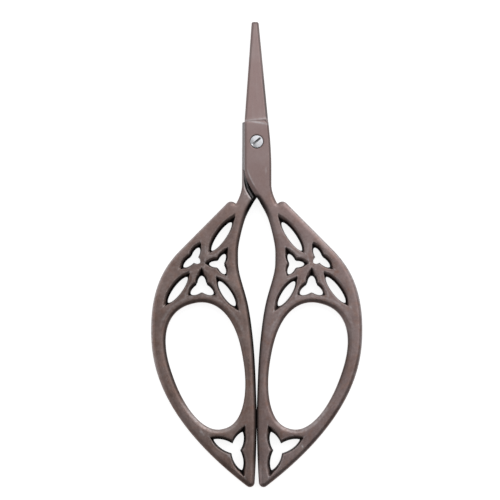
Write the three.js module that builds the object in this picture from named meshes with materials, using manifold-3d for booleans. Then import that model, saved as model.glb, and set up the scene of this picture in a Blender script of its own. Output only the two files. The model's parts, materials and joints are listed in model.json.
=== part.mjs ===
// Craft scissors with openwork leaf handles, lying flat with the blades closed.
// Millimetres, +Z up, blade tips towards +Y. The origin is on the surface they lie on, on the
// centre line and midway along their length. Two crossed halves turn on one slotted screw.

import * as THREE from "three";
import { mergeVertices } from "three/addons/utils/BufferGeometryUtils.js";
import Module from "manifold-3d";

const wasm = await Module();
wasm.setup();

// Lengths of one half, from the pivot
const bladeReach = 31.2;       // up to the blade tip
const handleReach = 88.8;      // down to the lower point of the handle
const handleSpan = 27.15;      // from the centre line out to the handle's widest place
const heelAt = 6.4;            // down to the start of the heel, where the back edge turns in
const heelLength = 7.5;        // from there down to the foot of the heel
const shankLength = 1;         // from the foot of the heel down to the top of the handle

// Thicknesses and clearances
const handleThickness = 3.8;
const bladeThickness = 1.85;   // round the pivot
const tipThickness = 1;
const bladeGap = 0.1;          // between the inner faces of the two blades
const closingGap = 0.1;        // between the handles, where they stop each other
const shoulderGap = 0.8;       // between a half's shoulder and the other half's heel

// Blade
const tipWidth = 1.9;
const tipCorner = 0.25;        // cut off the two corners of the blunt tip
const bladeWidth = 6.1;        // at the lower end of the ground blade
const leanOffset = 0.4;        // the closed tips lie this far to the left of the pivot
const plungeAt = 5.4;          // from the pivot up to the end of the ground blade
const plungeDepth = 0.15;      // from the flat round the pivot down to the ground face
const notchDepth = 0.35;       // the nick in the cutting edge at the end of the ground blade
const notchWidth = 0.6;
const cuttingBevel = 0.5;
const cuttingLand = 0.2;
const edgeChamfer = 0.5;       // on the back edge, the flat round the pivot and the shank

// Flat round the pivot, and shank
const backExtraWidth = 0.05;   // from the blade's lower end out to the back edge
const shankExtraWidth = 0.73;  // and out to the outer edge
const flareLength = 5;         // of the outer edge's flare, down to the handle
const shankOverlap = 1.2;      // how far the shank runs on inside the handle's flat face
const shankCover = 0.45;       // handle material left beside the shank inside it

// Handle
const edgeRound = 0.7;         // rounding of the handle's outer edge
const outerRim = 3.68;         // beside the finger hole
const innerRim = 2.95;
const fingerTopShare = 0.3672; // where the finger hole begins on the way down the handle
const fingerBottomShare = 0.8037;
const holeRound = 0.6;         // rounding of the finger hole's edge
const pointRadius = 1.2;       // at the handle's lower point
const leafWidth = 2.05;        // of the openwork's single leaves
const leafTipRadius = 0.5;     // at the ends of the leaves
const leafFlare = 0.35;        // the leaves open out this much towards each face
const leafPoint = 0.6;         // and run this much further at their tips
const flareDepth = 0.9;        // from the face down to where the leaves run straight

// Pivot screw
const headDiameter = 3.4;
const headHeight = 1;
const headDome = 0.15;         // rise of the head above the flat round the pivot
const headClearance = 0.22;    // between the head and its counterbore
const seatGap = 0.05;          // under the head
const threadDiameter = 2.2;
const neckHeight = 0.1;        // from the thread out to the plain neck
const threadPitch = 0.45;
const threadDepth = 0.2;
const boreClearance = 0.1;     // between the screw and each hole
const endRecess = 0.1;         // from the rear half's outer face in to the end of the screw
const slotWidth = 0.45;
const slotDepth = 0.45;
const slotAngle = 40.6;        // degrees from +X

// Counts of steps on the curved shapes
const roundSides = 32;
const threadSides = 18;
const rowsPerTurn = 5;
const holeSteps = 64;
const arcSteps = 5;
const edgeSteps = 60;
const roundSteps = 2;
const outlineSteps = 16;
const sideMargin = 1;          // by which a cutting tool runs past the faces it cuts
const weldDistance = 1e-5;     // between vertices that count as one
const filletShare = 0.45;      // of a wall's width, the most that a fillet or chamfer takes

// Heights above the plane between the blades, places down the shank, and distances of its edges
const innerFace = bladeGap / 2;
const pivotFace = innerFace + bladeThickness;
const handleFace = handleThickness / 2;
const crotchAt = heelAt + heelLength;
const handleTop = -crotchAt - shankLength;
const backOffset = bladeWidth / 2 + backExtraWidth;
const shankOffset = bladeWidth / 2 + shankExtraWidth;

const lerp = THREE.MathUtils.lerp;
const point = (x, y) => new THREE.Vector2(x, y);
const shares = (count) => Array.from({ length: count + 1 }, (_, i) => i / count);

// Solids: a closed geometry for cutting and joining, and back again
function solidOf(geometry) {
  const bare = geometry.index ? geometry.toNonIndexed() : geometry;
  bare.deleteAttribute("normal");
  bare.deleteAttribute("uv");
  const merged = mergeVertices(bare, weldDistance);
  return new wasm.Manifold(new wasm.Mesh({
    numProp: 3,
    vertProperties: new Float32Array(merged.attributes.position.array),
    triVerts: new Uint32Array(merged.index.array),
  }));
}

function geometryOf(solid) {
  const mesh = solid.getMesh();
  const geometry = new THREE.BufferGeometry();
  geometry.setAttribute("position", new THREE.BufferAttribute(new Float32Array(mesh.vertProperties), 3));
  geometry.setIndex(new THREE.BufferAttribute(new Uint32Array(mesh.triVerts), 1));
  const faceted = geometry.toNonIndexed();
  faceted.computeVertexNormals();
  return faceted;
}

// A solid through rings of points, one after the other, each ring lying in one plane.
// `flat` gives a point's two coordinates in that plane.
function loft(rings, flat) {
  const sides = rings[0].length;
  const positions = rings.flat().flatMap((p) => [p.x, p.y, p.z]);
  const triangles = [];
  for (let row = 0; row + 1 < rings.length; row++) {
    for (let i = 0; i < sides; i++) {
      const a = row * sides + i;
      const b = row * sides + (i + 1) % sides;
      triangles.push(a, b, b + sides, a, b + sides, a + sides);
    }
  }
  const last = (rings.length - 1) * sides;
  for (const [a, b, c] of THREE.ShapeUtils.triangulateShape(rings[0].map(flat), [])) {
    triangles.push(a, c, b);
  }
  for (const [a, b, c] of THREE.ShapeUtils.triangulateShape(rings.at(-1).map(flat), [])) {
    triangles.push(last + a, last + b, last + c);
  }
  const geometry = new THREE.BufferGeometry();
  geometry.setAttribute("position", new THREE.Float32BufferAttribute(positions, 3));
  geometry.setIndex(triangles);
  return solidOf(geometry);
}

// A solid whose level outlines are given from the bottom up as [z, points]
const stack = (levels) => loft(
  levels.map(([z, points]) => points.map((p) => new THREE.Vector3(p.x, p.y, z))),
  (p) => point(p.x, p.y),
);

// A solid whose upright sections are given from the tip down as [y, points], x and z in each
const sections = (list) => loft(
  list.map(([y, points]) => points.map((p) => new THREE.Vector3(p.x, y, p.y))),
  (p) => point(p.x, p.z),
);

function roundBar(diameter, bottom, top) {
  const bar = new THREE.CylinderGeometry(diameter / 2, diameter / 2, top - bottom, roundSides);
  bar.rotateX(Math.PI / 2);
  bar.translate(0, 0, (top + bottom) / 2);
  return solidOf(bar);
}

// Points along an arc, without its last one
const arc = (x, y, radius, from, to) => Array.from({ length: arcSteps }, (_, i) => {
  const turn = lerp(from, to, i / arcSteps);
  return point(x + radius * Math.cos(turn), y + radius * Math.sin(turn));
});

// Points along a curve, without its last one
const run = (curve, steps) => curve.getPoints(steps).slice(0, -1);

// Places in plan: u is a share of the handle's span, v a share of the way down the whole handle,
// of the panel above the finger hole, or of the foot below it
const onHandle = (u, v) => point(u * handleSpan, -lerp(crotchAt, handleReach, v));
const onPanel = (u, v) => onHandle(u, v * fingerTopShare);
const onFoot = (u, v) => onHandle(u, lerp(fingerBottomShare, 1, v));

// The inner edge, from the heel down to where the two handles stop each other
const stopTop = point(closingGap / 2, onHandle(0, 0.7).y);
const stopBottom = point(closingGap / 2, onHandle(0, 0.86).y);
const onHeel = (u, v) => point(-u * backOffset, -lerp(heelAt, crotchAt, v));
const innerEdge = new THREE.SplineCurve([
  onHeel(1, 0), onHeel(0.94, 0.33), onHeel(0.56, 0.68), onHeel(0.09, 1),
  onHandle(0.04, 0.028), onHandle(0.112, 0.081), onHandle(0.168, 0.162), onHandle(0.177, 0.215),
  onHandle(0.163, 0.268), onHandle(0.083, 0.375), onHandle(0.039, 0.482), onHandle(0.0155, 0.589),
  stopTop,
]).getPoints(edgeSteps);

// The outer edge of the shank, down to the notch beside the handle's upper corner
const notch = onHandle(0.197, 0.0285);
const shankEdge = new THREE.QuadraticBezierCurve(
  point(shankOffset, notch.y + flareLength), point(shankOffset, notch.y + 0.55 * flareLength), notch,
).getPoints(arcSteps);

// x of an edge at height y, from points that run downwards
function edgeAt(points, y) {
  const after = points.findIndex((p) => p.y <= y);
  if (after <= 0) return points.at(after).x;
  const [p, q] = [points[after - 1], points[after]];
  return lerp(p.x, q.x, (p.y - y) / (p.y - q.y));
}

// Back and cutting edges of the plate that carries the blade, the pivot and the shank.
// `lean` is how far to the right its tip lies.
function plateEdges(y, lean) {
  const shift = lean * Math.max(y, 0) / bladeReach;
  if (y >= plungeAt) {
    const half = lerp(bladeWidth, tipWidth, (y - plungeAt) / (bladeReach - plungeAt)) / 2;
    return [shift - half, shift + half];
  }
  const ease = ((Math.max(y, -heelAt) + heelAt) / (plungeAt + heelAt)) ** 2;
  const outer = lerp(shankOffset, bladeWidth / 2, ease);
  const back = y > -heelAt ? shift - lerp(backOffset, bladeWidth / 2, ease) : edgeAt(innerEdge, y);
  return [back, y > shankEdge[0].y ? shift + outer : edgeAt(shankEdge, y)];
}

// A six-sided section: a flat inner face, and an outer face bevelled at the cutting edge's side
// and chamfered at the back
function plateSection(back, edge, inner, outer, bevel, bevelDrop) {
  const most = filletShare * (edge - back);
  const chamfer = Math.min(edgeChamfer, most, filletShare * Math.abs(outer - inner));
  const up = Math.sign(outer - inner);
  return [
    point(back, inner), point(edge, inner), point(edge, outer - up * bevelDrop),
    point(edge - Math.min(bevel, most), outer),
    point(back + chamfer, outer), point(back, outer - up * chamfer),
  ];
}

// Plate: the ground blade tapers to its tip, the rest keeps the pivot's thickness
function plate(lean) {
  const list = [];
  const ground = (y, trim, nick) => {
    const [back, edge] = plateEdges(y, lean);
    const thick = lerp(bladeThickness - plungeDepth, tipThickness, (y - plungeAt) / (bladeReach - plungeAt));
    list.push([y, plateSection(back + trim, edge - trim - nick, innerFace, innerFace + thick,
      cuttingBevel, thick - cuttingLand)]);
  };
  const plain = (y, cover, top) => {
    const [back, edge] = plateEdges(y, lean);
    list.push([y, plateSection(back + cover, edge - cover, innerFace, top, edgeChamfer, edgeChamfer)]);
  };
  const bladeEnd = plungeAt + notchWidth / 2;
  const flatTop = plungeAt - notchWidth / 2;
  ground(bladeReach, tipCorner, 0);
  for (const share of shares(4)) ground(lerp(bladeReach - tipCorner, bladeEnd, share), 0, 0);
  ground(plungeAt, 0, notchDepth);
  for (const share of shares(5)) plain(lerp(flatTop, -heelAt, share), 0, pivotFace);
  for (const share of shares(8).slice(1)) plain(lerp(-heelAt, handleTop, share), 0, pivotFace);
  plain(handleTop - edgeRound, 0, pivotFace);
  plain(handleTop - 2 * edgeRound, shankCover, pivotFace);
  plain(handleTop - 2 * edgeRound - shankOverlap, shankCover, pivotFace - shankCover);
  return sections(list);
}

// Shoulder: the lower side of the shank, which stands clear of the other half's heel
function shoulder() {
  const heel = innerEdge.map((p) => point(-p.x, p.y));
  const clear = heel.map((p, i) => {
    const along = (heel[i + 1] ?? p).clone().sub(heel[Math.max(i - 1, 0)]).setLength(shoulderGap);
    return point(p.x - along.y, p.y + along.x);
  });
  const list = [];
  const block = (y, cover, bottom) => {
    const [inner, edge] = plateEdges(y, 0);
    const back = Math.max(edgeAt(clear, y), inner + cover);
    const top = innerFace + shankCover;
    list.push([y, plateSection(back, edge - cover, top, bottom, edgeChamfer, edgeChamfer).reverse()]);
  };
  const start = onHeel(0, 0.35).y;
  for (const share of shares(7)) block(lerp(start, handleTop, share), 0, -pivotFace);
  block(handleTop - edgeRound, 0, -pivotFace);
  block(handleTop - 2 * edgeRound, shankCover, -pivotFace);
  block(handleTop - 2 * edgeRound - shankOverlap, shankCover, shankCover - pivotFace);
  return sections(list);
}

// Handle blank: a leaf outline with rounded edges, from the shank to the lower point
function handleBlank() {
  const widest = onHandle(1, 0.458);
  const straightEnd = onHandle(0.689, 0.175);
  const cornerTop = onHandle(0.249, 0.0205);
  const cornerEnd = onHandle(0.291, 0.0295);
  const pointCentre = point(pointRadius + onHandle(0.02, 0).x, -handleReach + pointRadius);
  const pointEnd = Math.PI * 1.74;
  const innerFoot = point(pointCentre.x - pointRadius, pointCentre.y);
  const outerFoot = point(pointRadius, 0).rotateAround(point(0, 0), pointEnd).add(pointCentre);
  const upperPull = 0.125 * handleSpan;
  const lowerPull = onHandle(0.972, 0.751);
  const [shankInner, shankOuter] = plateEdges(handleTop, 0);
  const outline = [
    point(shankInner, handleTop),
    ...innerEdge.filter((p) => p.y < handleTop - 2 * edgeRound),
    ...run(new THREE.QuadraticBezierCurve(stopBottom,
      point(stopBottom.x, lerp(stopBottom.y, pointCentre.y, 0.5)), innerFoot), arcSteps),
    ...arc(pointCentre.x, pointCentre.y, pointRadius, Math.PI, pointEnd),
    ...run(new THREE.CubicBezierCurve(outerFoot, lowerPull,
      point(widest.x, lerp(widest.y, outerFoot.y, 0.181)), widest), outlineSteps),
    ...run(new THREE.CubicBezierCurve(widest, point(widest.x, lerp(widest.y, straightEnd.y, 0.596)),
      point(straightEnd.x + upperPull, straightEnd.y - upperPull), straightEnd), outlineSteps),
    straightEnd,
    ...run(new THREE.QuadraticBezierCurve(cornerEnd,
      point(lerp(cornerTop.x, cornerEnd.x, 0.5), cornerTop.y), cornerTop), arcSteps),
    ...run(new THREE.QuadraticBezierCurve(cornerTop,
      point(lerp(notch.x, cornerTop.x, 0.4), cornerTop.y), notch), arcSteps),
    notch,
    point(shankOuter, handleTop),
  ];
  const blank = new THREE.ExtrudeGeometry(new THREE.Shape(outline), {
    depth: handleThickness - 2 * edgeRound,
    bevelThickness: edgeRound,
    bevelSize: edgeRound,
    bevelOffset: -edgeRound,
    bevelSegments: roundSteps,
  });
  blank.translate(0, 0, edgeRound - handleFace);
  return solidOf(blank);
}

// Finger hole: an oval, blunter than an ellipse, broader at the top and tilted outwards
function fingerHole() {
  const [tilt, egg, blunt, slim] = [0.268, 0.146, 0.882, 0.578];
  const bend = (value) => Math.sign(value) * Math.abs(value) ** blunt;
  const oval = Array.from({ length: holeSteps }, (_, i) => {
    const turn = 2 * Math.PI * i / holeSteps;
    const up = bend(Math.sin(turn));
    const across = slim * bend(Math.cos(turn)) * (1 + egg * up);
    return point(across, up).rotateAround(point(0, 0), -tilt);
  });
  const box = new THREE.Box2().setFromPoints(oval);
  const place = (grow) => oval.map((p) => point(
    THREE.MathUtils.mapLinear(p.x, box.min.x, box.max.x,
      closingGap / 2 + innerRim - grow, handleSpan - outerRim + grow),
    THREE.MathUtils.mapLinear(p.y, box.min.y, box.max.y,
      onHandle(0, fingerBottomShare).y - grow, onHandle(0, fingerTopShare).y + grow),
  ));
  const levels = shares(roundSteps).map((share) => {
    const turn = Math.PI / 2 * share;
    return [handleFace - holeRound * (1 - Math.sin(turn)), place(holeRound * (1 - Math.cos(turn)))];
  });
  levels.push([handleFace + sideMargin, place(holeRound)]);
  return stack([...levels.toReversed().map(([z, points]) => [-z, points]), ...levels]);
}

// Outline of a leaf opening: two side arcs and two round tips
function leafOutline(tail, tip, width) {
  const radius = Math.min(leafTipRadius, filletShare * width, filletShare * tail.distanceTo(tip));
  const middle = tail.clone().add(tip).divideScalar(2);
  const axis = tip.clone().sub(tail);
  const half = axis.length() / 2 - radius;
  const bulge = width / 2 - radius;
  const sideRadius = (half * half + bulge * bulge) / (2 * bulge);
  const spread = Math.asin(half / sideRadius);
  const [up, down] = [Math.PI / 2, Math.PI * 1.5];
  const points = [
    ...arc(0, bulge - sideRadius, sideRadius + radius, up - spread, up + spread),
    ...arc(-half, 0, radius, up + spread, down - spread),
    ...arc(0, sideRadius - bulge, sideRadius + radius, down - spread, down + spread),
    ...arc(half, 0, radius, spread - up, up - spread),
  ];
  return points.map((p) => p.rotateAround(point(0, 0), axis.angle()).add(middle));
}

// Cutting tool for one leaf opening, wider and longer at both faces than between them
function leafOpening(tail, tip, width) {
  const along = tip.clone().sub(tail).normalize().multiplyScalar(leafPoint);
  const through = leafOutline(tail, tip, width);
  const open = leafOutline(tail.clone().sub(along), tip.clone().add(along), width + 2 * leafFlare);
  const straight = handleFace - flareDepth;
  return stack([
    [-handleFace - sideMargin, open], [-handleFace, open], [-straight, through],
    [straight, through], [handleFace, open], [handleFace + sideMargin, open],
  ]);
}

// The openwork: three single leaves, and four groups of three leaves that meet at a heart.
// A group's breadth counts in single leaves, and its leaves start `tuck` of their width behind the heart.
const leaves = [
  { tail: onPanel(0.242, 0.251), tip: onPanel(0.425, 0.512) },
  { tail: onPanel(0.661, 0.765), tip: onPanel(0.838, 1) },
  { tail: onPanel(0.359, 0.806), tip: onPanel(0.207, 1.03) },
];
const trefoils = [
  { heart: onPanel(0.522, 0.853), breadth: 1.07, tuck: 0.64,
    tips: [onPanel(0.522, 0.754), onPanel(0.414, 0.921), onPanel(0.622, 0.921)] },
  { heart: onPanel(0.35, 0.643), breadth: 0.78, tuck: 0.62,
    tips: [onPanel(0.303, 0.55), onPanel(0.448, 0.64), onPanel(0.302, 0.733)] },
  { heart: onPanel(0.597, 0.588), breadth: 0.8, tuck: 0.48,
    tips: [onPanel(0.548, 0.49), onPanel(0.691, 0.667), onPanel(0.541, 0.629)] },
  { heart: onFoot(0.196, 0.358), breadth: 1.2, tuck: 0.65,
    tips: [onFoot(0.122, 0.052), onFoot(0.395, 0.2), onFoot(0.128, 0.664)] },
];

function openings() {
  const single = leaves.map(({ tail, tip }) => leafOpening(tail, tip, leafWidth));
  const grouped = trefoils.flatMap(({ heart, breadth, tuck, tips }) => tips.map((tip) => {
    const width = breadth * leafWidth;
    const tail = heart.clone().sub(tip.clone().sub(heart).setLength(tuck * width));
    return leafOpening(tail, tip, width);
  }));
  return [...single, ...grouped];
}

// One half, lying face up with its handle to the right of the pivot
function half(lean, holes) {
  let body = plate(lean).add(shoulder()).add(handleBlank());
  for (const tool of [fingerHole(), ...openings(), ...holes]) body = body.subtract(tool);
  return geometryOf(body);
}

const neckDiameter = threadDiameter + 2 * neckHeight;
const headSeat = pivotFace + headDome - headHeight;
const neckEnd = -innerFace;
const screwEnd = endRecess - pivotFace;
const frontHoles = [
  roundBar(neckDiameter + 2 * boreClearance, -sideMargin, pivotFace + sideMargin),
  roundBar(headDiameter + 2 * headClearance, headSeat - seatGap, pivotFace + sideMargin),
];
const rearHoles = [roundBar(threadDiameter + 2 * boreClearance, -sideMargin, pivotFace + sideMargin)];

// Pivot screw: a low domed head with a slot, a plain neck and a threaded end
function pivotScrew() {
  const [head, neck] = [headDiameter / 2, neckDiameter / 2];
  const top = headSeat + headHeight;
  const dome = shares(arcSteps).map((share) => {
    const turn = Math.PI / 2 * share;
    return point(share < 1 ? head * Math.cos(turn) : 0, top - 2 * headDome * (1 - Math.sin(turn)));
  });
  const turned = new THREE.LatheGeometry([
    point(0, neckEnd), point(neck, neckEnd), point(neck, headSeat), point(head, headSeat), ...dome,
  ], roundSides);
  turned.rotateX(Math.PI / 2);
  const slot = new THREE.BoxGeometry(headDiameter + sideMargin, slotWidth, 2 * slotDepth);
  slot.rotateZ(THREE.MathUtils.degToRad(slotAngle));
  slot.translate(0, 0, top);
  return geometryOf(solidOf(turned).add(thread()).subtract(solidOf(slot)));
}

// Thread: the radius falls and rises once a pitch, and the groove winds round with the turn
function thread() {
  const top = neckEnd + threadPitch;
  const rows = Math.round((top - screwEnd) / threadPitch * rowsPerTurn);
  return stack(shares(rows).map((share) => {
    const z = lerp(screwEnd, top, share);
    const taper = threadDepth - (z - screwEnd);
    return [z, shares(threadSides).slice(1).map((turn) => {
      const wave = z / threadPitch - turn;
      const groove = threadDepth * Math.abs(2 * (wave - Math.floor(wave)) - 1);
      const radius = threadDiameter / 2 - Math.max(taper, groove);
      return point(radius, 0).rotateAround(point(0, 0), 2 * Math.PI * turn);
    })];
  }));
}

const bronze = () => new THREE.MeshStandardMaterial({ color: 0x6e5a51, roughness: 0.42, metalness: 0.85 });
const steel = new THREE.MeshStandardMaterial({ color: 0xc9c8c4, roughness: 0.28, metalness: 1 });

function named(name, geometry, material) {
  const mesh = new THREE.Mesh(geometry, material);
  mesh.name = name;
  return mesh;
}

const front = named("front_half", half(-leanOffset, frontHoles), bronze());
const rear = named("rear_half", half(leanOffset, rearHoles), bronze());
rear.rotation.y = Math.PI;
const screw = named("pivot_screw", pivotScrew(), steel);

const scissors = new THREE.Group();
scissors.add(front, rear, screw);
scissors.position.set(0, (handleReach - bladeReach) / 2, Math.max(handleFace, pivotFace));

export default scissors;
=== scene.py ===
import json
import math

import bpy
import numpy as np
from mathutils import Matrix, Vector
from mathutils.geometry import delaunay_2d_cdt


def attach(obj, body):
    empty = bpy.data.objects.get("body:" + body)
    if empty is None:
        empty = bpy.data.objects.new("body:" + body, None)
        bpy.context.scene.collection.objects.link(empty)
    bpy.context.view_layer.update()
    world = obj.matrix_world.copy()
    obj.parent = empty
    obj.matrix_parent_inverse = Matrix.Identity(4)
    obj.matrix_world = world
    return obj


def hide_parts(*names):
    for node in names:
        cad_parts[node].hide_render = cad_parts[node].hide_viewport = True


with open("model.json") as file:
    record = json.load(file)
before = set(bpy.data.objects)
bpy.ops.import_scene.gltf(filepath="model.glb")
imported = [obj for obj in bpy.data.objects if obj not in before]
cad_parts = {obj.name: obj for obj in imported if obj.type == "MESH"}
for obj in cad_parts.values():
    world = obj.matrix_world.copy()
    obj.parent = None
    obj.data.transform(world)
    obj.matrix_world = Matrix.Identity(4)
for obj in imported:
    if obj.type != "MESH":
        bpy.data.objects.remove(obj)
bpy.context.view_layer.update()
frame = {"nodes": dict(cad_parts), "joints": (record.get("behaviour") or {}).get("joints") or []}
print("frame loaded:", ", ".join(sorted(frame["nodes"])))

# The shapes are worked out in millimetres from the pivot, on the plane between the blades
pivot = np.array(next(j["pos_m"] for j in frame["joints"] if j["name"] == "blade_pivot"))
toMetres = 0.001


# camera: above, a little towards the handles, as in the photograph
view = {
    "aim": (-0.00173, 0.00086, 0.003),    # the middle of the picture, on the upper faces
    "width": 0.12876,                     # what the picture takes in, side to side
    "distance": 0.6,
    "tilt": math.radians(3.0),
    "sensor": 36.0,
    "nearest": 0.01,
}
camera = bpy.data.objects.new("camera", bpy.data.cameras.new("camera"))
camera.data.sensor_width = view["sensor"]
camera.data.lens = view["sensor"] * view["distance"] / view["width"]
camera.data.clip_start = view["nearest"]
back = Vector((0, -math.sin(view["tilt"]), math.cos(view["tilt"])))
camera.location = Vector(view["aim"]) + back * view["distance"]
camera.rotation_euler = (view["tilt"], 0, 0)
bpy.context.scene.collection.objects.link(camera)
bpy.context.scene.camera = camera
bpy.context.scene.view_settings.view_transform = "Standard"
print("camera set")


# plane curves
def mix(a, b, share):
    # a at share 0, b at share 1
    return a + (b - a) * share


def easeBetween(value, start, end):
    # 0 before start, 1 after end, and 3t^2 - 2t^3 between them
    t = np.clip((value - start) / (end - start), 0, 1)
    return t * t * (3 - 2 * t)


def bell(value, width):
    # 1 at nought, and exp(-(value/width)^2) away from it
    return np.exp(-(value / width) ** 2)


def unit(vectors):
    # each one over its length
    return vectors / np.hypot(*vectors.T)[:, None]


def leftOf(vectors):
    # a quarter turn anticlockwise
    return np.stack([-vectors[..., 1], vectors[..., 0]], -1)


def bezier(*points, steps=40):
    # each point weighted by its Bernstein polynomial
    t = np.linspace(0, 1, steps + 1)[:, None]
    n = len(points) - 1
    weights = [math.comb(n, i) * t ** i * (1 - t) ** (n - i) for i in range(n + 1)]
    return sum(weight * np.array(p, float) for weight, p in zip(weights, points))


def spline(points, steps):
    # a cubic from each point to the next, whose end slopes are half the chord between the neighbours
    p = np.array(points, float)
    at = np.linspace(0, len(p) - 1, steps + 1)
    i = np.minimum(at.astype(int), len(p) - 2)
    t = (at - i)[:, None]
    before, here, after, beyond = (p[np.clip(i + k, 0, len(p) - 1)] for k in (-1, 0, 1, 2))
    leave, arrive = (after - before) / 2, (beyond - here) / 2
    return ((2 * (here - after) + leave + arrive) * t ** 3
            + (3 * (after - here) - 2 * leave - arrive) * t ** 2 + leave * t + here)


def evenly(path, step):
    # the same path in equal steps of its length
    run = np.r_[0, np.cumsum(np.hypot(*np.diff(path, axis=0).T))]
    at = np.linspace(0, run[-1], max(2, round(run[-1] / step) + 1))
    return np.c_[np.interp(at, run, path[:, 0]), np.interp(at, run, path[:, 1])]


def joined(parts, step):
    # parts end to end in even steps, without the points that they share
    return np.vstack([evenly(np.array(p, float), step)[:-1] for p in parts])


def circle(radius, count, sign=-1):
    # evenly spaced points, clockwise unless the sign is 1
    turn = sign * np.linspace(0, 2 * math.pi, count, endpoint=False)
    return radius * np.c_[np.cos(turn), np.sin(turn)]


def inwards(loop):
    # unit normals to the left of the way round, which is where the metal is
    return leftOf(unit(np.roll(loop, -1, 0) - np.roll(loop, 1, 0)))


def strips(points):
    # which points lie in each strip of a few hundred, from the lowest up
    return np.array_split(np.argsort(points[:, 1]), len(points) // 400 + 1)


def distance(points, loop, closed=True, reach=3.0):
    # from each point to the nearest chord of the loop, up to the reach; a strip of points looks only at the
    # chords beside it
    a = loop if closed else loop[:-1]
    b = np.roll(loop, -1, 0) if closed else loop[1:]
    lowest, highest = np.minimum(a[:, 1], b[:, 1]), np.maximum(a[:, 1], b[:, 1])
    found = np.full(len(points), reach)
    for strip in strips(points):
        here = points[strip]
        beside = (highest > here[:, 1].min() - reach) & (lowest < here[:, 1].max() + reach)
        if beside.any():
            (ax, ay), (sx, sy) = a[beside].T, (b - a)[beside].T
            x, y = here[:, :1] - ax, here[:, 1:] - ay
            t = np.clip((x * sx + y * sy) / (sx * sx + sy * sy), 0, 1)
            found[strip] = np.sqrt(((x - t * sx) ** 2 + (y - t * sy) ** 2).min(1))
    return np.minimum(found, reach)


def nearest(points, loops, reach=3.0):
    # to the nearest of several loops
    return np.min([distance(points, loop, reach=reach) for loop in loops], axis=0)


def within(points, loop):
    # an odd number of the loop's sides lies to the right of a point inside it
    ends = np.roll(loop, -1, 0)
    lowest, highest = np.minimum(loop[:, 1], ends[:, 1]), np.maximum(loop[:, 1], ends[:, 1])
    found = np.zeros(len(points), bool)
    for strip in strips(points):
        x, y = points[strip, :1], points[strip, 1:]
        if len(strip):
            beside = (highest >= y.min()) & (lowest <= y.max())
            (x0, y0), (x1, y1) = loop[beside].T, ends[beside].T
            slope = (x1 - x0) / np.where(y1 == y0, 1, y1 - y0)
            found[strip] = (((y0 > y) != (y1 > y)) & (x < x0 + (y - y0) * slope)).sum(1) % 2 == 1
    return found


def inAny(points, loops):
    # inside one loop or another
    return np.any([within(points, loop) for loop in loops], axis=0)


# meshes
noCreases = np.zeros((0, 2), int)
mergeWithin = 0.0001    # points nearer to each other than this become one


def chained(count, start=0):
    # sides of a closed loop of points
    return np.c_[np.arange(count), np.roll(np.arange(count), -1)] + start


def gathered(sets):
    # sets of points and their creases as one
    starts = np.cumsum([0] + [len(points) for points, _ in sets])
    return np.vstack([p for p, _ in sets]), np.vstack([c + a for (_, c), a in zip(sets, starts)])


def kept(points, creases, good):
    # the good points, and the creases between two of them
    creases = creases[good[creases].all(1)]
    return points[good], (np.cumsum(good) - 1)[creases]


def triangulated(loops, inner, creases):
    # triangles between the loops, through the inner points and along the creases, which are pairs of inner
    # points. The loops' points come first.
    points = np.vstack([*loops, inner])
    ends = np.cumsum([0] + [len(loop) for loop in loops])
    sides = np.vstack([chained(len(loop), a) for loop, a in zip(loops, ends)] + [creases + ends[-1]])
    corners = [Vector(p) for p in points.tolist()]
    made = delaunay_2d_cdt(corners, sides.tolist(), [], 1, mergeWithin)    # 1: inside the outline only
    found = np.array([tuple(v) for v in made[0]])
    came = np.zeros(len(points), int)
    came[np.concatenate(made[3]).astype(int)] = np.repeat(np.arange(len(found)), [len(o) for o in made[3]])
    # the loops' points go to the front again
    order = np.full(len(found), -1)
    order[came[:ends[-1]]] = np.arange(ends[-1])
    order[order < 0] = np.arange(ends[-1], len(found))
    placed = np.empty_like(found)
    placed[order] = found
    placed[:ends[-1]] = points[:ends[-1]]
    faces = order[np.array(made[2])]
    # triangles with all three corners on the loops may lie in a hole
    edgeOnly = (faces < ends[-1]).all(1)
    middle = placed[faces[edgeOnly]].mean(1)
    keep = np.ones(len(faces), bool)
    keep[edgeOnly] = within(middle, loops[0]) & ~inAny(middle, loops[1:])
    faces = faces[keep]
    a, b, c = (placed[faces[:, k]] for k in range(3))
    turned = (b - a)[:, 0] * (c - a)[:, 1] < (b - a)[:, 1] * (c - a)[:, 0]
    faces[turned] = faces[turned][:, ::-1]
    return placed, faces


def plateMesh(loops, upper, lower, wallRows=5):
    # A plate: its plan has the given loops, the first one anticlockwise round the outside and the holes
    # clockwise. upper and lower give inner points, creases, and height and tints as functions of x and y;
    # walls join their edges.
    onLoops = sum(len(loop) for loop in loops)
    verts, tints, faces = [], [], []
    count = 0
    for (inner, creases, surface), up in ((upper, True), (lower, False)):
        points, triangles = triangulated(loops, inner, creases)
        height, tint = surface(points)
        verts.append(np.c_[points, height])
        tints.append(tint)
        faces.append((triangles if up else triangles[:, ::-1]) + count)
        count += len(points)
    top, bottom = verts[0][:onLoops], verts[1][:onLoops]
    shares = np.arange(1, wallRows)[:, None, None] / wallRows
    verts.append(mix(top, bottom, shares).reshape(-1, 3))
    # the walls take the painted shade of their darker edge, and none of the highlights or bare steel
    wallTint = np.maximum(tints[0][:onLoops], tints[1][:onLoops]) * (1, 0)
    tints.append(np.tile(wallTint, (wallRows - 1, 1)))
    wall = count + np.arange((wallRows - 1) * onLoops).reshape(-1, onLoops)
    grid = np.vstack([np.arange(onLoops), wall, len(verts[0]) + np.arange(onLoops)])
    start = 0
    for loop in loops:
        rows = grid[:, start:start + len(loop)]
        ahead = np.roll(rows, -1, 1)
        high, highNext, low, lowNext = rows[:-1], ahead[:-1], rows[1:], ahead[1:]
        faces.append(np.stack([low, lowNext, highNext], -1).reshape(-1, 3))
        faces.append(np.stack([low, highNext, high], -1).reshape(-1, 3))
        start += len(loop)
    return np.vstack(verts), np.vstack(faces), np.vstack(tints)


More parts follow.
